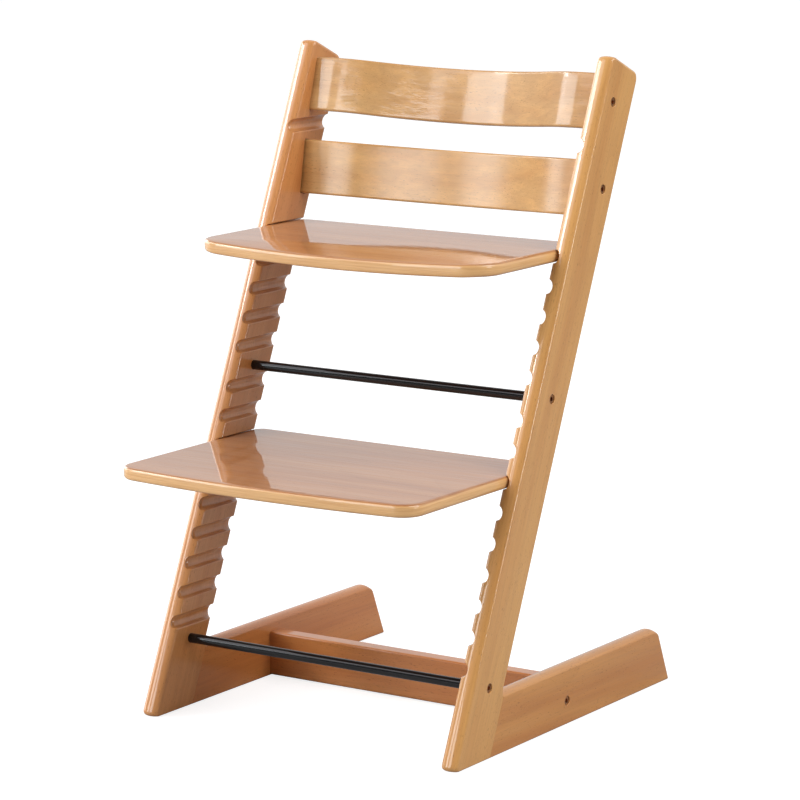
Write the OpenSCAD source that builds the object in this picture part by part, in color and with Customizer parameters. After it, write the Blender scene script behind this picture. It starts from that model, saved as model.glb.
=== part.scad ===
// Baby high chair: two grooved uprights on runners, two bent backrests, and a seat plate
// and a foot plate that slide in the grooves and are clamped by two steel tie rods.
// X runs across the chair, +Y points to its back and +Z up. The floor is z = 0.

/* [Overall size] */
// Width over the outer faces of the uprights
chair_width = 450; // [420:1:480]
// Height of the top of the uprights
chair_height = 791; // [785:1:830]
// Length of the base on the floor, from the foot tips to the ends of the runners
base_depth = 502; // [480:1:540]
// Lean of the uprights from the vertical, in degrees
lean = 23.45; // [22:0.05:24]

/* [Uprights and runners] */
// Thickness of the solid boards
board_t = 22; // [20:0.5:26]
// Width of an upright, square across
upright_w = 66.7; // [64:0.1:72]
// Height of a runner
runner_h = 72; // [66:1:76]
// Radius along the long edges of the boards
edge_r = 7; // [4:0.5:8]
// Radius along the bottom edges
bottom_r = 2.5; // [1:0.5:4]
// Radius of the tip of each foot
tip_r = 5; // [3:0.5:6]
// Radius of the front corner at the top of an upright
top_front_r = 8; // [6:0.5:14]
// Radius of the rear corner at the top of an upright
top_rear_r = 12; // [8:0.5:16]
// Radius of the top corner at the end of a runner
runner_end_r = 20; // [10:1:26]

/* [Grooves] */
// Radius of each half-round groove
groove_r = 8; // [7.8:0.1:9]
// Distance from one groove to the next
groove_pitch = 34; // [33:0.5:34]
// Height of the lowest groove
low_groove_z = 109; // [106:1:112]
// Number of grooves below the upper tie rod
low_groove_count = 9; // [7:1:9]
// Height of the first groove above the upper tie rod
high_groove_z = 428; // [426:1:430]
// Number of grooves above the upper tie rod
high_groove_count = 5; // [5:1:5]
// Height of the single groove between the backrests
back_groove_z = 689; // [687:1:691]
// Groove that holds the foot plate, counted from 0 in the lower row
foot_groove = 6; // [4:1:6]
// Groove that holds the seat plate, counted from 0 in the upper row
seat_groove = 4; // [2:1:4]

/* [Seat and foot plates] */
// Thickness of both plates
plate_t = 15; // [14:0.5:15]
// Depth of the seat plate, front to back
seat_depth = 240; // [220:1:260]
// Depth of the foot plate, front to back
foot_depth = 302; // [280:1:320]
// How far the foot plate stands out behind the uprights
foot_back_reach = 16; // [5:1:25]
// Radius of the bow of the front edges
front_bow_r = 1500; // [1200:50:2500]
// Radius of the front corners of the seat plate
seat_corner_r = 42; // [30:1:60]
// Radius of the front corners of the foot plate
foot_corner_r = 30; // [20:1:50]
// Radius of the rear corners of both plates
rear_corner_r = 16; // [12:1:20]

/* [Backrests] */
// Height of each bent board
back_h = 67; // [60:1:70]
// Thickness of each bent board
back_t = 9.5; // [9:0.5:11]
// Depth of the bend in the middle of each board
back_bend = 30; // [20:1:36]
// Radius where each board turns out of its flat ends
back_end_r = 110; // [80:5:140]
// Lean of the upper backrest from the vertical, in degrees
upper_back_lean = 16; // [12:0.5:20]
// Lean of the lower backrest from the vertical, in degrees
lower_back_lean = 9.5; // [8:0.5:14]
// How deep the ends sit in the uprights
slot_depth = 8; // [6:0.5:9]

/* [Tie rods and fasteners] */
// Diameter of the tie rods
rod_d = 12; // [10:0.5:14]
// Diameter of the bolt shanks
bolt_d = 6; // [6:0.5:7]
// Diameter of the bolt heads
head_d = 10.6; // [10:0.1:12]
// Height of the bolt heads
head_h = 4.5; // [4:0.5:5]
// Width across the flats of the hexagon sockets
socket_w = 5; // [4:0.5:5]
// Diameter of the wooden dowels
dowel_d = 8; // [6:0.5:8]

/* [Hidden] */
$fn = 96;

// Colours
beech = [0.83, 0.62, 0.38];
beech_shade = [0.74, 0.52, 0.31];
birch = [0.87, 0.76, 0.56];
black_steel = [0.06, 0.06, 0.06];
bronze_steel = [0.24, 0.14, 0.09];
zinc_steel = [0.66, 0.67, 0.68];

// Faces of the uprights
outer_x = chair_width / 2;
inner_x = outer_x - board_t;
mid_x = (inner_x + outer_x) / 2;
foot_w = upright_w / cos(lean);

// The front foot tips stand so that the whole chair is centred on y = 0
foot_plate_z = low_groove_z + foot_groove * groove_pitch;
seat_plate_z = high_groove_z + seat_groove * groove_pitch;
foot_plate_back = foot_plate_z * tan(lean) + foot_w + foot_back_reach;
front_reach = foot_depth - foot_plate_back;
foot_y = (front_reach - base_depth) / 2;

// Length of an upright along its front edge, so that its rounded top ends at chair_height
upright_len = (chair_height + top_front_r * (sin(lean) + cos(lean) - 1)) / cos(lean);
foot_run = 60;
joint_len = runner_h / cos(lean) + upright_w * tan(lean);

// Fixing points, as distance behind the foot tips and height above the floor
upper_back_at = [345, 737.7];
lower_back_at = [323, 636.4];
upper_rod_at = [209.5, 401.8];
lower_rod_at = [74, 84.2];
stretcher_at = [250.3, 29.2];

// Bolts and their holes
head_gap = 0.3;
head_sink = 1.2;
hole_gap = 0.2;
rod_thread_len = 24;
back_bolt_len = 45;
stretcher_bolt_len = 58;
hole_past_bolt = 2;
socket_depth = 3;
rod_bore_len = rod_thread_len + hole_past_bolt;

// Barrel nuts
nut_d = 10;
back_nut_len = 7;
back_nut_skin = 1.8;
back_nut_in = 22;
stretcher_nut_len = 14;
stretcher_nut_in = 26;

// Stretcher and dowels
stretcher_h = 56;
stretcher_edge_r = 3;
runner_dowel_len = 40;
runner_dowel_z = [17, 50];
stretcher_dowel_z = 46;
stretcher_dowel_len = 30;
stretcher_dowel_in = 10;

// Backrests and their slots
back_flat = 28;
slot_gap = 0.6;
slot_r = 2;

// Plates: their round side edges share the axes of the grooves
plate_edge_r = plate_t / 2 - 0.01;
plate_half_w = inner_x + plate_t / 2;

low_grooves = [for (i = [0 : low_groove_count - 1]) low_groove_z + i * groove_pitch];
high_grooves = [for (i = [0 : high_groove_count - 1]) high_groove_z + i * groove_pitch];
grooves = concat(low_grooves, high_grooves, [back_groove_z]);
far = 1000;

// ---- Frames and shared shapes ----

// Children modelled on the right side of the chair, or mirrored to the left
module on_side(side) {
    mirror([side == "left" ? 1 : 0, 0, 0]) children();
}

// Frame of an upright: its front edge runs up the Z axis from the foot tip
module leaned() {
    translate([0, foot_y, 0]) rotate([-lean, 0, 0]) children();
}

// A plan in Y and Z, extruded along X from x0 over a length
module along_x(x0, length) {
    translate([x0, 0, 0]) rotate([90, 0, 90]) linear_extrude(length) children();
}

// A plan in X and Z, extruded along Y from y0 over a length
module along_y(y0, length) {
    translate([0, y0 + length, 0]) rotate([90, 0, 0]) linear_extrude(length) children();
}

// A round bar or hole along X at [distance behind the foot tips, height]
module round_x(at, x0, length, d) {
    translate([x0, foot_y + at[0], at[1]]) rotate([0, 90, 0]) cylinder(h = length, d = d);
}

// Rectangle from the origin with its own radius at each corner, in the order
// near left, near right, far right, far left
module rounded_rect(w, h, radii) {
    corners = [[0, 0], [1, 0], [1, 1], [0, 1]];
    difference() {
        square([w, h]);
        for (i = [0 : 3]) {
            c = corners[i];
            r = radii[i];
            translate([c[0] * w, c[1] * h])
                mirror([c[0], 0])
                mirror([0, c[1]])
                difference() {
                    translate([-1, -1]) square(r + 1);
                    translate([r, r]) circle(r);
                }
        }
    }
}

function same_radii(r) = [r, r, r, r];

// ---- Uprights and runners ----

// Blank of the right upright, leaned and cut off at the floor. Its rear corners are
// square as far up as the runner joins it.
module upright_blank() {
    intersection() {
        leaned() translate([inner_x, 0, -foot_run]) {
            linear_extrude(upright_len + foot_run)
                rounded_rect(board_t, upright_w, same_radii(edge_r));
            linear_extrude(joint_len + foot_run)
                rounded_rect(board_t, upright_w, [edge_r, edge_r, 0.01, 0.01]);
        }
        leaned() along_x(inner_x, board_t)
            translate([0, -foot_run])
            rounded_rect(upright_w, upright_len + foot_run, [0.01, 0.01, top_rear_r, top_front_r]);
        leaned() along_y(0, upright_w)
            translate([inner_x, -foot_run])
            rounded_rect(board_t, upright_len + foot_run, [0.01, 0.01, edge_r, edge_r]);
        along_y(-far / 2, far)
            translate([inner_x, 0])
            rounded_rect(board_t, far, [bottom_r, bottom_r, 0.01, 0.01]);
        along_x(inner_x, board_t) translate([foot_y, 0]) foot_tip_profile();
    }
}

// Everything above the floor and behind the rounded tip of the foot
module foot_tip_profile() {
    tip_in = tip_r / tan((90 - lean) / 2);
    front_end = tip_in * [sin(lean), cos(lean)];
    difference() {
        square([far, far]);
        difference() {
            polygon([[-1, -1], [tip_in, -1], [tip_in, tip_r], front_end, front_end - [tip_r, 0]]);
            translate([tip_in, tip_r]) circle(tip_r);
        }
    }
}

// Blank of the right runner, its front end cut to meet the back of the upright
module runner_blank() {
    intersection() {
        along_y(foot_y, base_depth)
            translate([inner_x, 0])
            rounded_rect(board_t, runner_h, [bottom_r, bottom_r, edge_r, edge_r]);
        along_x(inner_x, board_t) translate([foot_y, 0]) runner_profile();
    }
}

// Side view of a runner: parallel to the upright in front, leaning forward behind
module runner_profile() {
    run = runner_h * tan(lean);
    end_in = runner_end_r * tan((90 - lean) / 2);
    top_end = base_depth - run;
    centre_y = top_end - end_in;
    difference() {
        polygon([[foot_w, 0], [base_depth, 0], [top_end, runner_h], [foot_w + run, runner_h]]);
        difference() {
            translate([centre_y, runner_h - runner_end_r]) square([far, runner_end_r + 1]);
            translate([centre_y, runner_h - runner_end_r]) circle(runner_end_r);
            translate([centre_y, runner_h - runner_end_r])
                rotate(lean)
                translate([0, -far])
                square([runner_end_r + 1, far]);
        }
    }
}

// Clearance hole and head recess for a bolt that enters from the outer face
module bolt_hole(at) {
    recess = head_h + head_sink;
    round_x(at, inner_x - 1, board_t + 2, bolt_d + 2 * hole_gap);
    round_x(at, outer_x - recess, recess + 1, head_d + 2 * head_gap);
}

// Recess in the inner face for the end of a backrest
module backrest_slot(at, back_lean) {
    h = back_h + 2 * slot_gap;
    t = back_t + 2 * slot_gap;
    translate([inner_x - 1, foot_y + at[0], at[1]])
        rotate([-back_lean, 0, 0])
        along_x(0, slot_depth + 1)
        translate([-t / 2, -h / 2])
        rounded_rect(t, h, same_radii(slot_r));
}

// Dowel holes or dowels across the joint between an upright and its runner
module runner_dowel_set() {
    for (z = runner_dowel_z)
        translate([mid_x, foot_y + foot_w + z * tan(lean) - runner_dowel_len / 2, z])
            rotate([-90, 0, 0])
            cylinder(h = runner_dowel_len, d = dowel_d);
}

// Dowel hole or dowel between a runner and the stretcher
module stretcher_dowel() {
    at = [stretcher_at[0], stretcher_dowel_z];
    round_x(at, inner_x + stretcher_dowel_in - stretcher_dowel_len, stretcher_dowel_len, dowel_d);
}

module upright() {
    color(beech) difference() {
        upright_blank();
        for (z = grooves)
            translate([inner_x, foot_y - far / 2, z])
                rotate([-90, 0, 0])
                cylinder(h = 2 * far, r = groove_r);
        backrest_slot(upper_back_at, upper_back_lean);
        backrest_slot(lower_back_at, lower_back_lean);
        for (at = [upper_back_at, lower_back_at, upper_rod_at, lower_rod_at]) bolt_hole(at);
        runner_dowel_set();
    }
}

module runner() {
    color(beech_shade) difference() {
        runner_blank();
        bolt_hole(stretcher_at);
        runner_dowel_set();
        stretcher_dowel();
    }
}

// ---- Stretcher ----

module stretcher() {
    color(beech_shade) difference() {
        along_x(-inner_x, 2 * inner_x)
            translate([foot_y + stretcher_at[0] - board_t / 2, stretcher_at[1] - stretcher_h / 2])
            rounded_rect(board_t, stretcher_h, same_radii(stretcher_edge_r));
        for (side = ["left", "right"]) on_side(side) {
            round_x(stretcher_at, outer_x - stretcher_bolt_len, stretcher_bolt_len, bolt_d + 2 * hole_gap);
            stretcher_nut_space(board_t);
            stretcher_dowel();
        }
    }
}

// Round pocket for a stretcher nut, open towards the back of the chair
module stretcher_nut_space(length) {
    translate([inner_x - stretcher_nut_in, foot_y + stretcher_at[0] - stretcher_nut_len / 2, stretcher_at[1]])
        rotate([-90, 0, 0])
        cylinder(h = length, d = nut_d);
}

// ---- Backrests ----

// Frame of a backrest: X across, Y through the board at its ends, Z up the board
module backrest_frame(at, back_lean) {
    translate([0, foot_y + at[0], at[1]]) rotate([-back_lean, 0, 0]) children();
}

// Bent board: flat ends, a short reverse bend at each end and one wide bend between them
module bent_board() {
    bend_x = inner_x + slot_depth - back_flat;
    turn = 2 * atan(back_bend / bend_x);
    wide_r = bend_x / sin(turn) - back_end_r;
    translate([0, 0, -back_h / 2]) linear_extrude(back_h) {
        translate([0, back_bend - wide_r]) ring_sector(wide_r, 90 - turn, 90 + turn);
        for (side = [0, 1]) mirror([side, 0]) {
            translate([bend_x, back_end_r]) ring_sector(back_end_r, 270 - turn, 270);
            translate([bend_x, -back_t / 2]) square([back_flat, back_t]);
        }
    }
}

// Part of a ring as thick as a backrest, around a centre line of radius r
module ring_sector(r, start, end) {
    intersection() {
        difference() {
            circle(r + back_t / 2);
            circle(r - back_t / 2);
        }
        polygon([[0, 0], for (a = [start, (start + end) / 2, end]) 2 * r * [cos(a), sin(a)]]);
    }
}

// Round pocket for a backrest nut, open towards the back of the board
module back_nut_space(length) {
    translate([inner_x + slot_depth - back_nut_in, back_nut_skin - back_t / 2, 0])
        rotate([-90, 0, 0])
        cylinder(h = length, d = nut_d);
}

module backrest(at, back_lean) {
    color(beech) backrest_frame(at, back_lean) difference() {
        bent_board();
        for (side = ["left", "right"]) on_side(side) {
            translate([outer_x - back_bolt_len, 0, 0])
                rotate([0, 90, 0])
                cylinder(h = back_bolt_len, d = bolt_d + 2 * hole_gap);
            back_nut_space(back_t);
        }
    }
}

// ---- Seat and foot plates ----

// Plate with round edges at the sides, where it sits in the grooves, and in front.
// back_y is the rear edge, z the middle of the thickness.
module sliding_plate(back_y, z, depth, corner_r) {
    bow_y = back_y - depth + front_bow_r;
    translate([0, 0, z - plate_t / 2]) intersection() {
        linear_extrude(plate_t) plate_plan(back_y, bow_y, corner_r);
        along_y(back_y - 2 * depth, 2 * depth)
            translate([-plate_half_w, 0])
            rounded_rect(2 * plate_half_w, plate_t, same_radii(plate_edge_r));
        translate([0, bow_y, 0]) rotate_extrude() bowed_disc_section();
    }
}

// Outline of a plate, with a bowed front edge and round corners
module plate_plan(back_y, bow_y, corner_r) {
    corner_x = plate_half_w - corner_r;
    corner_y = bow_y - sqrt(pow(front_bow_r - corner_r, 2) - corner_x * corner_x);
    corner_angle = asin(corner_x / (front_bow_r - corner_r));
    sector_x = 2 * front_bow_r * sin(corner_angle);
    sector_y = bow_y - 2 * front_bow_r * cos(corner_angle);
    intersection() {
        translate([0, bow_y]) circle(front_bow_r);
        polygon([[0, bow_y], [-sector_x, sector_y], [sector_x, sector_y]]);
        translate([-far / 2, corner_y - far]) square([far, far]);
    }
    for (side = [-1, 1]) translate([side * corner_x, corner_y]) circle(corner_r);
    translate([-plate_half_w, corner_y])
        rounded_rect(2 * plate_half_w, back_y - corner_y, [0.01, 0.01, rear_corner_r, rear_corner_r]);
}

// Half section of a disc whose rim is the bowed front edge of a plate
module bowed_disc_section() {
    rounded_rect(front_bow_r, plate_t, [0.01, plate_edge_r, plate_edge_r, 0.01]);
}

// ---- Tie rods ----

module tie_rod(at) {
    color(black_steel) difference() {
        round_x(at, -inner_x, 2 * inner_x, rod_d);
        for (side = ["left", "right"]) on_side(side)
            round_x(at, inner_x - rod_bore_len, rod_bore_len + 1, bolt_d);
    }
}

// ---- Fasteners ----

// Bolt from the outer face, with its head sunk in the recess and a hexagon socket
module bolt(at, end_x) {
    head_x = outer_x - head_sink;
    color(bronze_steel) difference() {
        union() {
            round_x(at, head_x - head_h, head_h, head_d);
            round_x(at, end_x, head_x - head_h - end_x, bolt_d);
        }
        translate([head_x - socket_depth, foot_y + at[0], at[1]])
            rotate([0, 90, 0])
            cylinder(h = socket_depth + 1, d = socket_w / cos(30), $fn = 6);
    }
}

module rod_bolt(at) {
    bolt(at, inner_x - rod_thread_len);
}

module backrest_bolt(at) {
    bolt(at, outer_x - back_bolt_len + hole_past_bolt);
}

module backrest_nut(at, back_lean) {
    color(zinc_steel) difference() {
        backrest_frame(at, back_lean) back_nut_space(back_nut_len);
        round_x(at, inner_x - far / 2, far, bolt_d);
    }
}

module stretcher_nut() {
    color(zinc_steel) difference() {
        stretcher_nut_space(stretcher_nut_len);
        round_x(stretcher_at, inner_x - far / 2, far, bolt_d);
    }
}

module upper_backrest() { backrest(upper_back_at, upper_back_lean); }
module lower_backrest() { backrest(lower_back_at, lower_back_lean); }

module seat_plate() {
    back_y = foot_y + seat_plate_z * tan(lean) + foot_w;
    color(beech) sliding_plate(back_y, seat_plate_z, seat_depth, seat_corner_r);
}

module foot_plate() {
    color(beech) sliding_plate(foot_y + foot_plate_back, foot_plate_z, foot_depth, foot_corner_r);
}

module runner_dowels() {
    color(birch) runner_dowel_set();
}

module stretcher_dowels() {
    color(birch) for (side = ["left", "right"]) on_side(side) stretcher_dowel();
}

// ---- Nodes ----

for (side = ["left", "right"]) {
    on_side(side) upright();
    on_side(side) runner();
    on_side(side) runner_dowels();
    on_side(side) rod_bolt(upper_rod_at);
    on_side(side) rod_bolt(lower_rod_at);
    on_side(side) backrest_bolt(upper_back_at);
    on_side(side) backrest_bolt(lower_back_at);
    on_side(side) bolt(stretcher_at, outer_x - stretcher_bolt_len + hole_past_bolt);
    on_side(side) backrest_nut(upper_back_at, upper_back_lean);
    on_side(side) backrest_nut(lower_back_at, lower_back_lean);
    on_side(side) stretcher_nut();
}
stretcher();
stretcher_dowels();
upper_backrest();
lower_backrest();
seat_plate();
foot_plate();
tie_rod(upper_rod_at);  // upper_rod
tie_rod(lower_rod_at);  // lower_rod
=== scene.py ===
import math

import bmesh
import bpy
from mathutils import Matrix, Vector


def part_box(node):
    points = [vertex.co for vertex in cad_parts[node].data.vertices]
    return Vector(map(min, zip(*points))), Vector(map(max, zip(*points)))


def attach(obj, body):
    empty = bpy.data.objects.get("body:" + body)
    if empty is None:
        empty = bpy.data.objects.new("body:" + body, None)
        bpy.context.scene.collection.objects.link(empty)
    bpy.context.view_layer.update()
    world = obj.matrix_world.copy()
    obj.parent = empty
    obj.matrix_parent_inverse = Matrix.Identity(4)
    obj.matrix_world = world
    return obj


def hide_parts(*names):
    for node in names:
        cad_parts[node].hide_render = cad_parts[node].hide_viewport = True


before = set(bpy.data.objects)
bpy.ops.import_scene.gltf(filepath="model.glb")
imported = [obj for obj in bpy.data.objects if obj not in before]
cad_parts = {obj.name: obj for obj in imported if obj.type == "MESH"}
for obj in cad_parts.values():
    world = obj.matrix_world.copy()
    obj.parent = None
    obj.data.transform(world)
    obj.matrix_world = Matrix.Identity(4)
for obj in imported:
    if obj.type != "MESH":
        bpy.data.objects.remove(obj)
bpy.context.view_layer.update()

# ---------------------------------------------------------------------------
# Sizes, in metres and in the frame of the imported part
# ---------------------------------------------------------------------------

outer_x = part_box("right_upright")[1].x
inner_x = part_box("right_upright")[0].x
board_t = outer_x - inner_x
base_back_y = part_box("right_runner")[1].y
runner_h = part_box("right_runner")[1].z
base_depth = 0.502
foot_y = base_back_y - base_depth
lean = math.radians(23.45)
sin_lean, cos_lean, tan_lean = math.sin(lean), math.cos(lean), math.tan(lean)

front_over = 0.0014
rear_over = 0.0023
upright_w = 0.0667 + front_over + rear_over
upright_len = 0.8647
foot_w = (upright_w - front_over) / cos_lean
crown_r = 0.016
corner_r = 0.0013
end_side_r = 0.0035
bottom_r = 0.0025
tip_r = 0.005
top_front_r = 0.008
top_rear_r = 0.012
runner_end_r = 0.020
end_edge_r = 0.0035

groove_r = 0.008
rim_r = 0.0018
groove_rows = [(0.109, 9), (0.428, 5), (0.689, 1)]
groove_pitch = 0.034

seat_side_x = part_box("seat_plate")[1].x - 0.0040
foot_side_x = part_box("foot_plate")[1].x - 0.0020
front_bow_r = 1.5
rear_corner_r = 0.016

back_h = 0.067
back_t = 0.0095
back_edge_r = 0.0027
back_bend = 0.030
back_end_r = 0.150
back_flat = 0.032
slot_depth = 0.008
slot_gap = 0.0006
slot_opening = 0.0012
nut_hole_d = 0.010
back_nut_in = 0.022
back_nut_skin = 0.0018

recess_d = 0.0112
recess_depth = 0.0057
bolt_hole_d = 0.0064

# Fixing points in Y and Z, with the lean of each backrest
upper_back = (foot_y + 0.345, 0.7377, math.radians(16))
lower_back = (foot_y + 0.323, 0.6364, math.radians(9.5))
upper_rod_at = (foot_y + 0.2095, 0.4018)
lower_rod_at = (foot_y + 0.074, 0.0842)
stretcher_at = (foot_y + 0.2503, 0.0292)

# ---------------------------------------------------------------------------
# Camera
# ---------------------------------------------------------------------------

view_azimuth = math.radians(33.292)
view_elevation = math.radians(10.4934)
view_aim = Vector((0.0101, 0.0008, 0.3786))
view_distance = 4.2255

camera_data = bpy.data.cameras.new("camera")
camera_data.lens = 158.253
camera_data.sensor_width = 36.0
camera_data.clip_start = 0.05
camera_data.clip_end = 80.0
camera = bpy.data.objects.new("camera", camera_data)
bpy.context.scene.collection.objects.link(camera)
view_back = Vector((
    math.sin(view_azimuth) * math.cos(view_elevation),
    -math.cos(view_azimuth) * math.cos(view_elevation),
    math.sin(view_elevation),
))
camera.location = view_aim + view_back * view_distance
camera.rotation_mode = "QUATERNION"
camera.rotation_quaternion = (-view_back).to_track_quat("-Z", "Y")
bpy.context.scene.camera = camera
bpy.context.scene.view_settings.view_transform = "Standard"


# ---------------------------------------------------------------------------
# Mesh helpers
# ---------------------------------------------------------------------------

def make_object(name, vertices, faces):
    """A new mesh object in the scene, with its faces turned outwards."""
    mesh = bpy.data.meshes.new(name)
    mesh.from_pydata([tuple(v) for v in vertices], [], faces)
    mesh.validate()
    bm = bmesh.new()
    bm.from_mesh(mesh)
    bmesh.ops.remove_doubles(bm, verts=bm.verts, dist=1e-6)
    bmesh.ops.dissolve_degenerate(bm, edges=bm.edges, dist=1e-6)
    bmesh.ops.recalc_face_normals(bm, faces=bm.faces)
    bm.to_mesh(mesh)
    bm.free()
    obj = bpy.data.objects.new(name, mesh)
    bpy.context.scene.collection.objects.link(obj)
    return obj


def loft(sections, closed_ends=True):
    """Vertices and faces of a tube through sections with equal numbers of points."""
    count = len(sections[0])
    vertices = [p for section in sections for p in section]
    faces = []
    for i in range(len(sections) - 1):
        for j in range(count):
            k = (j + 1) % count
            faces.append((i * count + j, i * count + k, (i + 1) * count + k, (i + 1) * count + j))
    if closed_ends:
        last = (len(sections) - 1) * count
        faces.append(tuple(reversed(range(count))))
        faces.append(tuple(range(last, last + count)))
    return vertices, faces


def rounded_rectangle(width, height, radii, arc_steps, side_steps=(1, 1)):
    """Points round a rectangle from its lower left corner, with a radius at each corner."""
    centres = [
        (radii[0], radii[0], 180),
        (width - radii[1], radii[1], 270),
        (width - radii[2], height - radii[2], 0),
        (radii[3], height - radii[3], 90),
    ]
    points = []
    for i, (cx, cy, start) in enumerate(centres):
        for step in range(arc_steps + 1):
            a = math.radians(start + 90 * step / arc_steps)
            points.append((cx + radii[i] * math.cos(a), cy + radii[i] * math.sin(a)))
        nx, ny, start = centres[(i + 1) % 4]
        r = radii[(i + 1) % 4]
        a = math.radians(start)
        here, there = points[-1], (nx + r * math.cos(a), ny + r * math.sin(a))
        extra = side_steps[i % 2]
        for step in range(1, extra):
            f = step / extra
            points.append((here[0] + (there[0] - here[0]) * f, here[1] + (there[1] - here[1]) * f))
    return points


def inset_at(distance, radius):
    """How far a round edge of this radius stands in from its side, this far below its top."""
    if distance >= radius:
        return 0.0
    return radius - math.sqrt(max(0.0, radius ** 2 - (radius - distance) ** 2))


def crown(across, wide):
    """How far the crowned edge of a board falls back beside its middle line."""
    off = (across / wide - 0.5) * board_t
    return (crown_r - math.sqrt(crown_r ** 2 - off ** 2)) * wide / board_t


def smooth_max(a, b, k):
    if k <= 1e-9:
        return max(a, b)
    h = min(1.0, max(0.0, 0.5 + 0.5 * (a - b) / k))
    return b + (a - b) * h + k * h * (1 - h)


def smooth_step(value, low, high):
    t = min(1.0, max(0.0, (value - low) / (high - low)))
    return t * t * (3 - 2 * t)


def cut(obj, cutters):
    """Takes the closed cutter meshes out of obj."""
    bpy.ops.object.select_all(action="DESELECT")
    for cutter in cutters:
        cutter.select_set(True)
    bpy.context.view_layer.objects.active = cutters[0]
    if len(cutters) > 1:
        bpy.ops.object.join()
    tool = bpy.context.view_layer.objects.active
    modifier = obj.modifiers.new("cut", "BOOLEAN")
    modifier.operation = "DIFFERENCE"
    modifier.solver = "EXACT"
    modifier.object = tool
    apply_modifiers(obj)
    bpy.data.objects.remove(tool)


def apply_modifiers(obj):
    depsgraph = bpy.context.evaluated_depsgraph_get()
    mesh = bpy.data.meshes.new_from_object(obj.evaluated_get(depsgraph))
    obj.modifiers.clear()
    obj.data = mesh


def shade(obj, sharp_angle=50):
    """Smooth shading that keeps flat faces flat and edges above the angle sharp."""
    bm = bmesh.new()
    bm.from_mesh(obj.data)
    limit = math.radians(sharp_angle)
    for face in bm.faces:
        face.smooth = True
    for edge in bm.edges:
        edge.smooth = not (edge.is_manifold and edge.calc_face_angle(0) > limit)
    bm.to_mesh(obj.data)
    bm.free()
    weighted = obj.modifiers.new("weighted normals", "WEIGHTED_NORMAL")
    weighted.mode = "FACE_AREA"
    weighted.keep_sharp = True
    return obj


def add_piece(obj, material, body, node):
    obj.data.materials.clear()
    obj.data.materials.append(material)
    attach(obj, body)
    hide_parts(node)
    return obj


def round_cutter(profile, centre, direction_x, steps=48):
    """A turned cutter along X: profile holds (distance along the axis, radius)."""
    sections = []
    for along, radius in profile:
        ring = []
        for i in range(steps):
            a = 2 * math.pi * i / steps
            ring.append((
                centre[0] + direction_x * along,
                centre[1] + radius * math.cos(a),
                centre[2] + radius * math.sin(a),
            ))
        sections.append(ring)
    return make_object("cutter", *loft(sections))


# ---------------------------------------------------------------------------
# Materials
# ---------------------------------------------------------------------------

class Nodes:
    """Short calls for building one node material."""

    def __init__(self, name):
        self.material = bpy.data.materials.new(name)
        self.material.use_nodes = True
        self.tree = self.material.node_tree
        self.shader = next(n for n in self.tree.nodes if n.type == "BSDF_PRINCIPLED")

    def node(self, kind, inputs=None, **settings):
        made = self.tree.nodes.new(kind)
        for key, value in settings.items():
            setattr(made, key, value)
        for key, value in (inputs or {}).items():
            self.set(made, key, value)
        return made

    def set(self, node, key, value):
        socket = node.inputs[key]
        if isinstance(value, bpy.types.NodeSocket):
            self.tree.links.new(value, socket)
        else:
            socket.default_value = value

    def place(self, rotation, offset):
        coordinates = self.node("ShaderNodeTexCoord").outputs["Object"]
        turned = self.node("ShaderNodeMapping", {"Vector": coordinates, "Rotation": rotation})
        return self.node(
            "ShaderNodeVectorMath",
            {0: turned.outputs["Vector"], 1: offset},
            operation="ADD",
        ).outputs["Vector"]

    def stretch(self, vector, scale):
        return self.node(
            "ShaderNodeVectorMath", {0: vector, 1: scale}, operation="MULTIPLY"
        ).outputs["Vector"]

    def noise(self, vector, scale, detail=2.0, roughness=0.5, distortion=0.0):
        return self.node(
            "ShaderNodeTexNoise",
            {
                "Vector": self.stretch(vector, scale),
                "Scale": 1.0,
                "Detail": detail,
                "Roughness": roughness,
                "Distortion": distortion,
            },
        ).outputs["Fac"]

    def ramp(self, factor, stops, interpolation="LINEAR"):
        made = self.node("ShaderNodeValToRGB", {"Fac": factor})
        ramp = made.color_ramp
        ramp.interpolation = interpolation
        while len(ramp.elements) < len(stops):
            ramp.elements.new(0.5)
        for element, (position, colour) in zip(ramp.elements, stops):
            element.position = position
            element.color = (*colour, 1.0)
        return made.outputs["Color"]

    def math(self, operation, a, b=0.0, c=0.0, clamp=False):
        return self.node(
            "ShaderNodeMath", {0: a, 1: b, 2: c}, operation=operation, use_clamp=clamp
        ).outputs["Value"]

    def range(self, value, low, high, to_low=0.0, to_high=1.0):
        return self.node(
            "ShaderNodeMapRange",
            {
                "Value": value,
                "From Min": low,
                "From Max": high,
                "To Min": to_low,
                "To Max": to_high,
            },
        ).outputs["Result"]

    def mix(self, factor, a, b, blend="MIX"):
        made = self.node("ShaderNodeMix", data_type="RGBA", blend_type=blend)
        self.set(made, 0, factor)
        self.set(made, 6, a)
        self.set(made, 7, b)
        return made.outputs[2]

    def bump(self, height, distance, strength=1.0, normal=None):
        inputs = {"Height": height, "Distance": distance, "Strength": strength}
        if normal is not None:
            inputs["Normal"] = normal
        return self.node("ShaderNodeBump", inputs).outputs["Normal"]


def srgb(red, green, blue):
    """Linear colour of an 8-bit sRGB colour."""
    return tuple(
        c / 255 / 12.92 if c <= 10 else ((c / 255 + 0.055) / 1.055) ** 2.4
        for c in (red, green, blue)
    )


GRAIN_LEANED = (lean, 0.0, 0.0)
GRAIN_ALONG_Y = (math.pi / 2, 0.0, 0.0)
GRAIN_ALONG_X = (0.0, -math.pi / 2, 0.0)


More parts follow.
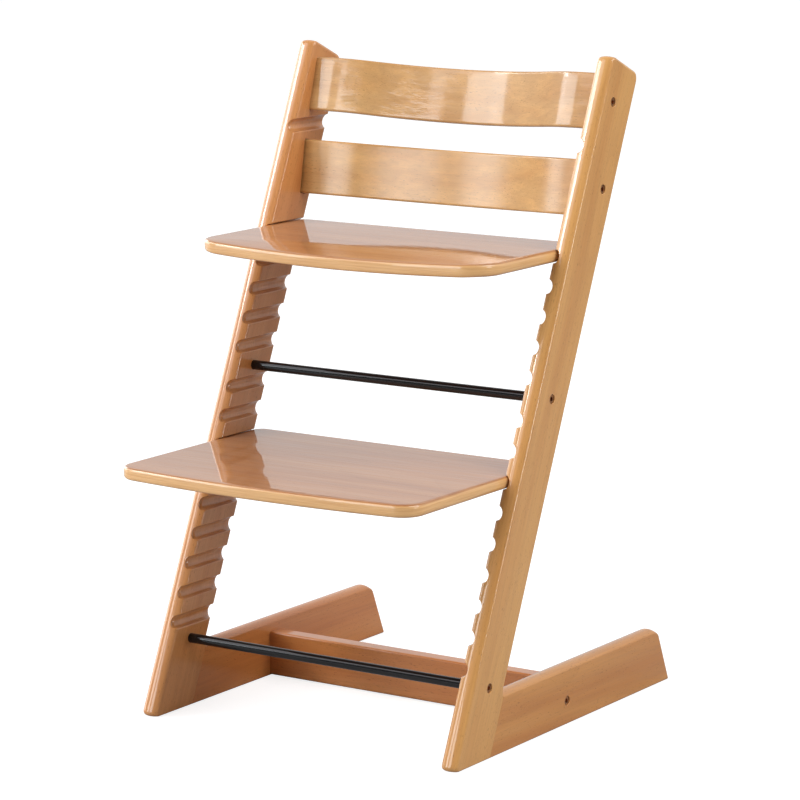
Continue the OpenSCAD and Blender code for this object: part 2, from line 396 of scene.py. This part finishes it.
def beech(
    name, rotation, offset, light, middle, dark, figure=0.0, rings=0.12, coat=0.03, layered_lit_edges=False
):
    """Varnished beech with its grain along the turned Z axis.

    figure is the depth of the wavy ripple across the grain, and above nought it also adds a
    painted sheen along the ripple curls; rings the strength of the growth-ring lines and
    coat the roughness of the varnish. With layered_lit_edges the board shows paler plywood
    layers on its edges, painted paler than its faces as painted light on the edges.
    """
    n = Nodes(name)
    place = n.place(rotation, offset)
    tone = n.noise(place, (26, 26, 2.2), detail=3, roughness=0.55, distortion=0.4)
    colour = n.ramp(tone, [(0.30, dark), (0.50, middle), (0.70, light)])

    swirl = n.noise(place, (9, 9, 0.9), detail=1.5, roughness=0.4)
    ring = n.math("FRACT", n.math("MULTIPLY", swirl, 22.0))
    ring_line = n.math("POWER", ring, 3.0)
    ring_amount = n.math("MULTIPLY", ring_line, rings)
    colour = n.mix(ring_amount, colour, (*[c * 0.72 for c in dark], 1.0))

    streak = n.noise(place, (420, 420, 9), detail=4, roughness=0.65)
    streak_tone = n.ramp(streak, [(0.30, (0.80, 0.76, 0.72)), (0.62, (1.05, 1.04, 1.03))])
    colour = n.mix(0.45, colour, streak_tone, "MULTIPLY")

    fleck = n.noise(place, (1250, 1250, 190), detail=1, roughness=0.4)
    cluster = n.noise(place, (45, 45, 12), detail=1)
    fleck_cut = n.math("ADD", n.range(fleck, 0.66, 0.74), n.range(cluster, 0.35, 0.65, -0.6, 0.0))
    fleck_mask = n.math("MULTIPLY", n.range(fleck_cut, 0.0, 0.5), 0.55)
    colour = n.mix(fleck_mask, colour, (*[c * 0.38 for c in dark], 1.0))

    height = n.math("MULTIPLY", streak, 0.35)
    wave = None
    if figure > 0:
        bend = n.noise(place, (75, 75, 16), detail=2, distortion=0.6)
        curls = n.noise(place, (620, 620, 150), detail=1, roughness=0.5, distortion=1.0)
        patch = n.range(n.noise(place, (60, 60, 30), detail=1), 0.42, 0.60, 0.15, 1.0)
        curls = n.math("MULTIPLY", curls, patch)
        wave = n.math("ADD", n.math("MULTIPLY", bend, 0.5), n.math("MULTIPLY", curls, 0.11))
        # Painted sheen: the ripple curls lighten and darken the colour, standing in for their shifting reflections.
        painted_sheen = n.range(curls, 0.12, 0.55, 0.93, 1.05)
        sheen_tint = n.node("ShaderNodeCombineColor", {0: painted_sheen, 1: painted_sheen, 2: painted_sheen}).outputs[0]
        colour = n.mix(1.0, colour, sheen_tint, "MULTIPLY")
    # Edge faces: plywood layers in tones paler than the faces; the paleness is partly the layers and partly painted
    # light on the edges.
    if layered_lit_edges:
        outward = n.node("ShaderNodeTexCoord").outputs["Normal"]
        upward = n.node("ShaderNodeSeparateXYZ", {"Vector": outward}).outputs["Z"]
        layer_and_light_share = n.range(n.math("ABSOLUTE", upward), 0.80, 0.45)
        flat = n.node("ShaderNodeTexCoord").outputs["Object"]
        layers = n.noise(flat, (14, 14, 900), detail=2, roughness=0.6)
        colour = n.mix(layer_and_light_share, colour, n.ramp(layers, [(0.35, layer_and_light_deep), (0.60, layer_and_light_pale)]))
    n.set(n.shader, "Base Color", colour)
    n.set(n.shader, "Roughness", n.range(streak, 0.3, 0.7, 0.34, 0.50))
    n.set(n.shader, "IOR", 1.5)
    n.set(n.shader, "Coat Weight", 1.0)
    n.set(n.shader, "Specular IOR Level", 0.25)
    n.set(n.shader, "Coat Roughness", coat)
    n.set(n.shader, "Coat IOR", 1.5)
    peel = n.noise(place, (160, 160, 60), detail=1)
    base_normal = n.bump(height, 0.00012, 0.6)
    coat_normal = n.bump(n.math("MULTIPLY", peel, 1.0), 0.00008, 0.5)
    if wave is not None:
        coat_normal = n.bump(wave, figure, 1.0, coat_normal)
    n.set(n.shader, "Normal", base_normal)
    n.set(n.shader, "Coat Normal", coat_normal)
    return n.material


def gloss_black(name):
    """Black gloss paint on steel tube, with faint ripples and dust."""
    n = Nodes(name)
    place = n.place((0, 0, 0), (0.3, 0.1, 0.2))
    speckle = n.noise(place, (700, 700, 700), detail=2)
    colour = n.ramp(speckle, [(0.4, (0.004, 0.004, 0.005)), (0.75, (0.014, 0.013, 0.012))])
    n.set(n.shader, "Base Color", colour)
    n.set(n.shader, "IOR", 1.45)
    n.set(n.shader, "Roughness", n.range(speckle, 0.3, 0.7, 0.05, 0.10))
    n.set(n.shader, "Normal", n.bump(n.noise(place, (60, 240, 240), detail=1), 0.0001, 0.5))
    return n.material


def steel(name, dark, light, rough_low, rough_high, metallic=1.0):
    """Turned steel with fine marks and patches of dull finish."""
    n = Nodes(name)
    place = n.place((0, 0, 0), (0.1, 0.4, 0.7))
    patches = n.noise(place, (260, 260, 260), detail=3)
    marks = n.noise(place, (4000, 900, 900), detail=2)
    both = n.math("ADD", n.math("MULTIPLY", patches, 0.6), n.math("MULTIPLY", marks, 0.4))
    n.set(n.shader, "Base Color", n.ramp(both, [(0.35, dark), (0.65, light)]))
    n.set(n.shader, "Metallic", metallic)
    n.set(n.shader, "Roughness", n.range(both, 0.35, 0.65, rough_low, rough_high))
    n.set(n.shader, "Normal", n.bump(marks, 0.00004, 0.6))
    return n.material


side_light, side_middle, side_dark = srgb(209, 156, 91), srgb(204, 149, 85), srgb(195, 137, 75)
# The left upright's tones are a darker, redder copy of the right upright's: painted shade for its inner face, which
# lies in the chair's shadow.
left_shade_light, left_shade_middle, left_shade_dark = srgb(207, 145, 88), srgb(201, 137, 80), srgb(191, 124, 69)
base_light, base_middle, base_dark = srgb(202, 142, 76), srgb(196, 133, 68), srgb(186, 120, 58)
# Tones for the left runner and the stretcher: a darker, redder copy of the base beech, painted shade for their
# faces under and inside the chair.
inner_shade_light, inner_shade_middle, inner_shade_dark = srgb(199, 131, 73), srgb(192, 121, 64), srgb(181, 108, 54)
# The two backrests use copies of one bent beech: the lower board's tones are paler, painted highlight for the
# bright reflection bands on it, and the upper board's are a little darker.
bent_light, bent_middle, bent_dark = srgb(205, 160, 104), srgb(199, 151, 93), srgb(189, 137, 79)
lower_lit_light, lower_lit_middle, lower_lit_dark = srgb(213, 167, 107), srgb(207, 159, 97), srgb(198, 146, 84)
plate_light, plate_middle, plate_dark = srgb(184, 127, 78), srgb(176, 117, 68), srgb(164, 104, 56)
# Edge tones of the plates: plywood layers, painted paler as painted light on the edge faces.
layer_and_light_pale, layer_and_light_deep = srgb(223, 174, 117), srgb(208, 155, 98)

beech_shaded_left = beech("beech_shaded_side_left", GRAIN_LEANED, (0.31, 0.12, 0.44), left_shade_light, left_shade_middle, left_shade_dark)
beech_right = beech("beech_side_right", GRAIN_LEANED, (1.73, 0.52, 0.91), side_light, side_middle, side_dark)
beech_shaded_base_left = beech("beech_shaded_base_left", GRAIN_ALONG_Y, (0.21, 0.77, 0.15), inner_shade_light, inner_shade_middle, inner_shade_dark)
beech_base_right = beech("beech_base_right", GRAIN_ALONG_Y, (2.11, 0.37, 1.65), base_light, base_middle, base_dark)
beech_shaded_cross = beech("beech_shaded_stretcher", GRAIN_ALONG_X, (0.61, 1.37, 0.35), inner_shade_light, inner_shade_middle, inner_shade_dark)
beech_back_upper = beech(
    "beech_bent_upper", GRAIN_ALONG_X, (0.91, 0.17, 0.55), bent_light, bent_middle, bent_dark,
    figure=0.0003, rings=0.1, coat=0.08,
)
beech_back_lower = beech(
    "beech_bent_lit_lower", GRAIN_ALONG_X, (1.31, 0.87, 1.15), lower_lit_light, lower_lit_middle, lower_lit_dark,
    figure=0.0003, rings=0.1, coat=0.22,
)
beech_seat = beech(
    "beech_plate_seat", GRAIN_ALONG_X, (0.41, 2.17, 0.85), plate_light, plate_middle, plate_dark,
    layered_lit_edges=True,
)
beech_foot = beech(
    "beech_plate_foot", GRAIN_ALONG_X, (1.51, 1.47, 0.25), plate_light, plate_middle, plate_dark,
    layered_lit_edges=True,
)
birch = beech(
    "birch_dowel", GRAIN_ALONG_X, (0.2, 0.3, 0.4), srgb(232, 206, 160), srgb(226, 196, 148), srgb(212, 178, 126),
    rings=0.1,
)
black = gloss_black("black_gloss")
bronze = steel("bronze_bolt", srgb(134, 88, 58), srgb(204, 150, 106), 0.25, 0.45)
zinc = steel("zinc_nut", srgb(140, 142, 146), srgb(186, 188, 192), 0.25, 0.45)


# ---------------------------------------------------------------------------
# Uprights
# ---------------------------------------------------------------------------

def groove_centres():
    return [start + i * groove_pitch for start, count in groove_rows for i in range(count)]


def groove_profile():
    """(height from the groove's middle, depth) over one groove and its soft rims."""
    rim_z = math.sqrt((groove_r + rim_r) ** 2 - rim_r ** 2)
    turn = math.acos(rim_z / (groove_r + rim_r))
    half = []
    for i in range(5):
        a = math.pi / 2 + (math.pi / 2 - turn) * i / 5
        half.append((rim_z + rim_r * math.cos(a), rim_r - rim_r * math.sin(a)))
    for i in range(10):
        a = turn + (math.pi / 2 - turn) * i / 9
        half.append((groove_r * math.cos(a), groove_r * math.sin(a)))
    return [(-z, depth) for z, depth in half] + [(z, depth) for z, depth in reversed(half[:-1])]


def upright_section(w, tilt, depth, height):
    """Points of one slice of the right upright.

    w is the slice's place along the front edge, tilt 1 for a level slice and 0 for one
    square across, depth the groove's depth there, height the slice's height if level.
    """
    side_in = inset_at(height, bottom_r) if tilt == 1 else 0.0
    from_top = upright_len - w if tilt == 0 else upright_len
    side_in = max(side_in, inset_at(from_top, end_side_r))
    front_in = inset_at(from_top, top_front_r)
    rear_in = inset_at(from_top, top_rear_r)
    tip_in = 0.0
    if tilt == 1:
        tip_centre = tip_r / math.tan((math.pi / 2 - lean) / 2)
        if height < tip_centre * cos_lean:
            reach = tip_centre - math.sqrt(tip_r ** 2 - (height - tip_r) ** 2)
            tip_in = (reach - height * tan_lean) * cos_lean
    rear_share = smooth_step(height, runner_h - 0.008, runner_h + 0.006) if tilt == 1 else 1.0
    wide = board_t - 2 * side_in
    deep = upright_w - front_in - rear_in - tip_in
    back_r = max(corner_r * rear_share, 0.0002)
    points = []
    for a, b in rounded_rectangle(wide, deep, [corner_r, corner_r, back_r, back_r], 6, (16, 8)):
        across = side_in + a
        front_crown = crown(a, wide) * (1 - smooth_step(b, 0.003, 0.011))
        rear_crown = crown(a, wide) * (1 - smooth_step(deep - b, 0.003, 0.011)) * rear_share
        behind = front_in + tip_in + b + front_crown - rear_crown - front_over
        if depth > 0:
            soft = min(0.0012, depth)
            edge = min(b, deep - b)
            across = smooth_max(across, depth + inset_at(edge, soft), min(0.0009, depth))
        along = w + behind * tan_lean * tilt
        points.append((
            inner_x + across,
            foot_y + along * sin_lean + behind * cos_lean,
            along * cos_lean - behind * sin_lean,
        ))
    return points


def upright_slices():
    """(w, tilt, depth, height) of every slice, from the floor to the rounded top."""
    levels = {0.0: 0.0}
    for i in range(1, 9):
        levels[bottom_r * i / 8] = 0.0
    for i in range(1, 11):
        levels[bottom_r + (0.008 - bottom_r) * i / 10] = 0.0
    for centre in groove_centres():
        for dz, depth in groove_profile():
            levels[round(centre + dz, 7)] = depth
    for i in range(9):
        height = runner_h - 0.008 + 0.014 * i / 8
        if all(abs(height - centre) > groove_r + 3 * rim_r for centre in groove_centres()):
            levels[height] = 0.0
    for height in (0.02, 0.035, 0.05):
        levels[height] = 0.0
    slices = [(z / cos_lean, 1.0, depth, z) for z, depth in sorted(levels.items())]
    start = slices[-1][0]
    flat_from = upright_len - top_rear_r
    for i in range(1, 9):
        f = i / 8
        slices.append((start + (flat_from - 0.002 - start) * f, 1.0 - f, 0.0, 1.0))
    steps = 14
    for i in range(steps + 1):
        s = top_rear_r * (1 - math.sin(math.pi / 2 * i / steps))
        slices.append((upright_len - s, 0.0, 0.0, 1.0))
    return slices


def build_upright(side):
    sign = -1 if side == "left" else 1
    sections = [
        [(sign * x, y, z) for x, y, z in upright_section(*slice_)] for slice_ in upright_slices()
    ]
    obj = make_object(f"{side}_upright_board", *loft(sections))
    cutters = []
    for y, z in (upper_rod_at, lower_rod_at, upper_back[:2], lower_back[:2]):
        profile = [
            (0.001, recess_d / 2 + 0.0016),
            (0.0, recess_d / 2 + 0.0006),
            (-0.0003, recess_d / 2 + 0.0002),
            (-0.0008, recess_d / 2),
            (-recess_depth, recess_d / 2),
            (-recess_depth, bolt_hole_d / 2),
            (-board_t - 0.001, bolt_hole_d / 2),
        ]
        cutters.append(round_cutter(profile, (sign * outer_x, y, z), sign))
    for y, z, tilt in (upper_back, lower_back):
        tall, thick = back_h + 2 * slot_gap, back_t + 2 * slot_gap
        ring = [
            (u - slot_opening * max(0.0, 1 - 2 * u / thick), v)
            for u, v in rounded_rectangle(thick, tall, [0.002] * 4, 6)
        ]
        sections = []
        for x in (-0.001, slot_depth):
            sections.append([
                (
                    sign * (inner_x + x),
                    y + (u - thick / 2) * math.cos(tilt) + (v - tall / 2) * math.sin(tilt),
                    z - (u - thick / 2) * math.sin(tilt) + (v - tall / 2) * math.cos(tilt),
                )
                for u, v in ring
            ])
        cutters.append(make_object("cutter", *loft(sections)))
    cut(obj, cutters)
    shade(obj)
    material = beech_shaded_left if side == "left" else beech_right
    return add_piece(obj, material, "chair_frame", f"{side}_upright")


# ---------------------------------------------------------------------------
# Runners
# ---------------------------------------------------------------------------

def runner_slices():
    """(distance to the rear end face, shear) of each slice, from the seam to the rear."""
    length = base_depth - foot_w
    slices = []
    for i in range(13):
        f = i / 12
        s = (length * (1 - f) + 0.030 * f) * cos_lean
        slices.append((s, 1.0 - f))
    for i in range(1, 19):
        slices.append((0.030 * cos_lean * (1 - i / 18) ** 1.6, 0.0))
    return slices


def runner_section(s, forward):
    """Points of one slice of the right runner, parallel to its rear end unless forward."""
    side_in = inset_at(s, end_edge_r) if forward == 0 else 0.0
    top = runner_h
    tangent = runner_end_r * (1 - sin_lean)
    if s < tangent and forward == 0:
        out = runner_end_r - s
        rise = math.sqrt(max(0.0, runner_end_r ** 2 - out ** 2))
        top = runner_h - runner_end_r + out * sin_lean + rise * cos_lean
    bottom_in = inset_at(s, bottom_r) if forward == 0 else 0.0
    wide = board_t - 2 * side_in
    low_r = max(bottom_r - side_in, 0.0002)
    tall = top - bottom_in
    points = []
    rear = foot_y + base_depth - s / cos_lean
    for a, b in rounded_rectangle(wide, tall, [low_r, low_r, corner_r, corner_r], 6, (16, 8)):
        height = bottom_in + b - crown(a, wide) * (1 - smooth_step(tall - b, 0.003, 0.011))
        y = rear + height * tan_lean * (2 * forward - 1)
        points.append((inner_x + side_in + a, y, height))
    return points


def build_runner(side):
    sign = -1 if side == "left" else 1
    sections = [
        [(sign * x, y, z) for x, y, z in runner_section(s, f)] for s, f in runner_slices()
    ]
    obj = make_object(f"{side}_runner_board", *loft(sections))
    y, z = stretcher_at
    profile = [
        (0.001, recess_d / 2 + 0.0016),
        (0.0, recess_d / 2 + 0.0006),
        (-0.0003, recess_d / 2 + 0.0002),
        (-0.0008, recess_d / 2),
        (-recess_depth, recess_d / 2),
        (-recess_depth, bolt_hole_d / 2),
        (-board_t - 0.001, bolt_hole_d / 2),
    ]
    cut(obj, [round_cutter(profile, (sign * outer_x, y, z), sign)])
    shade(obj)
    material = beech_shaded_base_left if side == "left" else beech_base_right
    return add_piece(obj, material, "chair_frame", f"{side}_runner")


# ---------------------------------------------------------------------------
# Backrests
# ---------------------------------------------------------------------------

def bend_line(steps=72):
    """Points and turned angles of a board's centre line in plan, from left to right."""
    end = inner_x + slot_depth
    bend_x = end - back_flat
    turn = 2 * math.atan(back_bend / bend_x)
    wide_r = bend_x / math.sin(turn) - back_end_r
    right = []
    for i in range(steps + 1):
        a = turn * i / steps
        right.append((wide_r * math.sin(a), back_bend - wide_r * (1 - math.cos(a)), -a))
    for i in range(1, steps // 2 + 1):
        a = turn * (1 - i / (steps // 2))
        right.append((bend_x - back_end_r * math.sin(a), back_end_r * (1 - math.cos(a)), -a))
    for i in range(1, 5):
        right.append((bend_x + back_flat * i / 4, 0.0, 0.0))
    left = [(-x, y, -a) for x, y, a in reversed(right[1:])]
    return left + right


def build_backrest(which, place, material):
    y0, z0, tilt = place
    ring = rounded_rectangle(back_t, back_h, [back_edge_r] * 4, 6, (2, 12))
    sections = []
    for x, y, angle in bend_line():
        section = []
        for u, v in ring:
            off, up = u - back_t / 2, v - back_h / 2
            px = x - off * math.sin(angle)
            py = y + off * math.cos(angle)
            section.append((
                px,
                y0 + py * math.cos(tilt) + up * math.sin(tilt),
                z0 - py * math.sin(tilt) + up * math.cos(tilt),
            ))
        sections.append(section)
    obj = make_object(f"{which}_backrest_board", *loft(sections))
    cutters = []
    for sign in (-1, 1):
        rings = []
        for along in (back_nut_skin - back_t / 2, back_t / 2 + 0.002):
            ring = []
            for i in range(40):
                a = 2 * math.pi * i / 40
                px = sign * (inner_x + slot_depth - back_nut_in) + nut_hole_d / 2 * math.cos(a)
                up = nut_hole_d / 2 * math.sin(a)
                ring.append((
                    px,
                    y0 + along * math.cos(tilt) + up * math.sin(tilt),
                    z0 - along * math.sin(tilt) + up * math.cos(tilt),
                ))
            rings.append(ring)
        cutters.append(make_object("cutter", *loft(rings)))
    cut(obj, cutters)
    shade(obj)
    return add_piece(obj, material, "chair_frame", f"{which}_backrest")


# ---------------------------------------------------------------------------
# Seat and foot plates
# ---------------------------------------------------------------------------

def plate_outline(back_y, depth, half, corner_r):
    """Points with outward directions round a plate, from the rear left corner."""
    bow_y = back_y - depth + front_bow_r
    corner_x = half - corner_r
    corner_y = bow_y - math.sqrt((front_bow_r - corner_r) ** 2 - corner_x ** 2)
    corner_angle = math.asin(corner_x / (front_bow_r - corner_r))
    right = []
    for i in range(1, 41):
        a = corner_angle * i / 40
        right.append((front_bow_r * math.sin(a), bow_y - front_bow_r * math.cos(a), math.sin(a), -math.cos(a)))
    for i in range(1, 25):
        a = corner_angle + (math.pi / 2 - corner_angle) * i / 24
        right.append((
            corner_x + corner_r * math.sin(a), corner_y - corner_r * math.cos(a), math.sin(a), -math.cos(a)
        ))
    rear_y = back_y - rear_corner_r
    for i in range(1, 25):
        right.append((half, corner_y + (rear_y - corner_y) * i / 24, 1.0, 0.0))
    for i in range(1, 15):
        a = math.pi / 2 * i / 14
        right.append((
            half - rear_corner_r + rear_corner_r * math.cos(a),
            rear_y + rear_corner_r * math.sin(a),
            math.cos(a),
            math.sin(a),
        ))
    for i in range(1, 31):
        right.append(((half - rear_corner_r) * (1 - i / 30), back_y, 0.0, 1.0))
    middle_front = (0.0, bow_y - front_bow_r, 0.0, -1.0)
    left = [(-x, y, -nx, ny) for x, y, nx, ny in reversed(right[:-1])]
    return [middle_front] + right + left


def build_plate(which, node, body, half, corner_r, material, drop):
    """A plate with round edges. drop(x, y) lowers it, for the lip of the seat."""
    low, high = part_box(node)
    depth = high.y - low.y
    thick = high.z - low.z
    middle_z = (low.z + high.z) / 2
    outline = plate_outline(high.y, depth, half, corner_r)
    edge_steps = 20
    rings = []
    fill = 26

    def ring(turn):
        made = []
        for x, y, nx, ny in outline:
            reach = thick / 2 if ny <= 0 else thick / 2 * (1 - 0.45 * ny)
            power = 2 / (3 + 1.4 * max(0.0, -ny))
            inset = reach * (1 - math.cos(turn) ** power)
            z = thick / 2 * math.copysign(abs(math.sin(turn)) ** power, turn)
            made.append((x - nx * inset, y - ny * inset, z))
        return made

    def shrunk(base, share):
        cx, cy = 0.0, (low.y + high.y) / 2
        return [(cx + (x - cx) * share, cy + (y - cy) * share, z) for x, y, z in base]

    bottom = ring(-math.pi / 2)
    top = ring(math.pi / 2)
    for i in range(1, fill + 1):
        rings.append(shrunk(bottom, (i / (fill + 1)) ** 0.8))
    for i in range(edge_steps + 1):
        rings.append(ring(math.pi * i / edge_steps - math.pi / 2))
    for i in range(fill, 0, -1):
        rings.append(shrunk(top, (i / (fill + 1)) ** 0.8))
    rings = [[(x, y, middle_z + z - drop(x, y, low.y)) for x, y, z in r] for r in rings]
    obj = make_object(f"{which}_board", *loft(rings))
    shade(obj, 60)
    return add_piece(obj, material, body, node)


def seat_drop(x, y, front_y):
    """How far the seat's front lip lies below its flat part."""
    half = 0.195
    share = max(0.0, 1 - (x / half) ** 2)
    lip = 0.072 * share ** 0.7
    behind = y - (front_y + front_bow_r - math.sqrt(front_bow_r ** 2 - x ** 2))
    if lip < 1e-6 or behind >= lip:
        return 0.0
    return 0.0042 * share * ((lip - behind) / lip) ** 1.5


def no_drop(x, y, front_y):
    return 0.0


# ---------------------------------------------------------------------------
# Pieces
# ---------------------------------------------------------------------------

for side_name in ("left", "right"):
    build_upright(side_name)
    build_runner(side_name)
build_backrest("upper", upper_back, beech_back_upper)
build_backrest("lower", lower_back, beech_back_lower)
build_plate("seat", "seat_plate", "seat", seat_side_x, 0.042, beech_seat, seat_drop)
build_plate("foot", "foot_plate", "footrest", foot_side_x, 0.030, beech_foot, no_drop)

finishes = {
    "stretcher": beech_shaded_cross,
    "stretcher_dowels": birch,
    "runner_dowels": birch,
    "rod": black,
    "bolt": bronze,
    "nut": zinc,
}
for node_name, node_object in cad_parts.items():
    if node_object.hide_render:
        continue
    ending = max((e for e in finishes if node_name.endswith(e)), key=len)
    for material_slot in node_object.material_slots:
        material_slot.material = finishes[ending]

# ---------------------------------------------------------------------------
# Studio
# ---------------------------------------------------------------------------

def stage_material(name, low, high, glow):
    """A matt surface that the camera sees near white and that throws little light back."""
    n = Nodes(name)
    place = n.place((0, 0, 0), (0, 0, 0))
    cloud = n.noise(place, (1.5, 1.5, 1.5), detail=2)
    n.set(n.shader, "Base Color", n.ramp(cloud, [(0.3, low), (0.7, high)]))
    n.set(n.shader, "Roughness", 0.6)
    seen_first = n.node("ShaderNodeLightPath").outputs["Is Camera Ray"]
    n.set(n.shader, "Emission Color", (1.0, 1.0, 1.0, 1.0))
    n.set(n.shader, "Emission Strength", n.math("MULTIPLY", seen_first, glow))
    return n.material


floor = make_object(
    "floor",
    [(-45, -45, 0), (45, -45, 0), (45, 45, 0), (-45, 45, 0)],
    [(0, 1, 2, 3)],
)
floor.data.materials.append(stage_material("floor_white", (0.33, 0.33, 0.33), (0.36, 0.36, 0.36), 0.8))


def soft_box(name, azimuth, elevation, distance, width, height, radiance, colour=(1, 1, 1)):
    """A rectangular light that faces the chair from a direction, as the camera's is given."""
    data = bpy.data.lights.new(name, "AREA")
    data.shape = "RECTANGLE"
    data.size, data.size_y = width, height
    data.energy = radiance * math.pi * width * height
    data.color = colour
    light = bpy.data.objects.new(name, data)
    bpy.context.scene.collection.objects.link(light)
    a, e = math.radians(azimuth), math.radians(elevation)
    out = Vector((math.sin(a) * math.cos(e), -math.cos(a) * math.cos(e), math.sin(e)))
    light.location = Vector((0, 0, 0.42)) + out * distance
    light.rotation_mode = "QUATERNION"
    light.rotation_quaternion = (-out).to_track_quat("-Z", "Y")
    return light


soft_box("front_box", -15, 12.4, 9.2, 3.58, 4.0, 5.4, (0.92, 1.0, 1.06))
soft_box("front_left_box", -45, 12.4, 9.2, 2.59, 4.0, 5.6, (0.92, 1.0, 1.06))
soft_box("high_front_box", -40, 41, 6.0, 3.6, 3.2, 2.6, (1.0, 0.95, 1.0))
soft_box("high_left_box", -56, 28.5, 6.0, 1.35, 0.95, 18.0)
soft_box("left_strip_box", -74, 26.5, 6.0, 2.4, 0.85, 10.0)
soft_box("left_box", -103, 10, 6.5, 5.6, 3.6, 2.7)
soft_box("right_box", 95, 48, 4.0, 3.2, 2.0, 5.5, (0.97, 1.0, 1.0))
soft_box("right_strip_box", 88, 11, 5.0, 1.3, 1.2, 9.0)

# The backdrop behind the chair is bright, and the room in front of it is dim
world = bpy.data.worlds.new("studio")
bpy.context.scene.world = world
world.use_nodes = True
sky = world.node_tree
direction = sky.nodes.new("ShaderNodeTexCoord")
parts = sky.nodes.new("ShaderNodeSeparateXYZ")
sky.links.new(direction.outputs["Generated"], parts.inputs["Vector"])
backdrop = sky.nodes.new("ShaderNodeMapRange")
backdrop.interpolation_type = "SMOOTHSTEP"
for socket, value in (("From Min", -0.1), ("From Max", 0.55), ("To Min", 0.18), ("To Max", 0.74)):
    backdrop.inputs[socket].default_value = value
sky.links.new(parts.outputs["Y"], backdrop.inputs["Value"])
path = sky.nodes.new("ShaderNodeLightPath")
seen = sky.nodes.new("ShaderNodeMath")
seen.operation = "MAXIMUM"
sky.links.new(path.outputs["Is Camera Ray"], seen.inputs[0])
sky.links.new(backdrop.outputs["Result"], seen.inputs[1])
background = sky.nodes["Background"]
background.inputs["Color"].default_value = (1.0, 1.0, 1.0, 1.0)
sky.links.new(seen.outputs["Value"], background.inputs["Strength"])
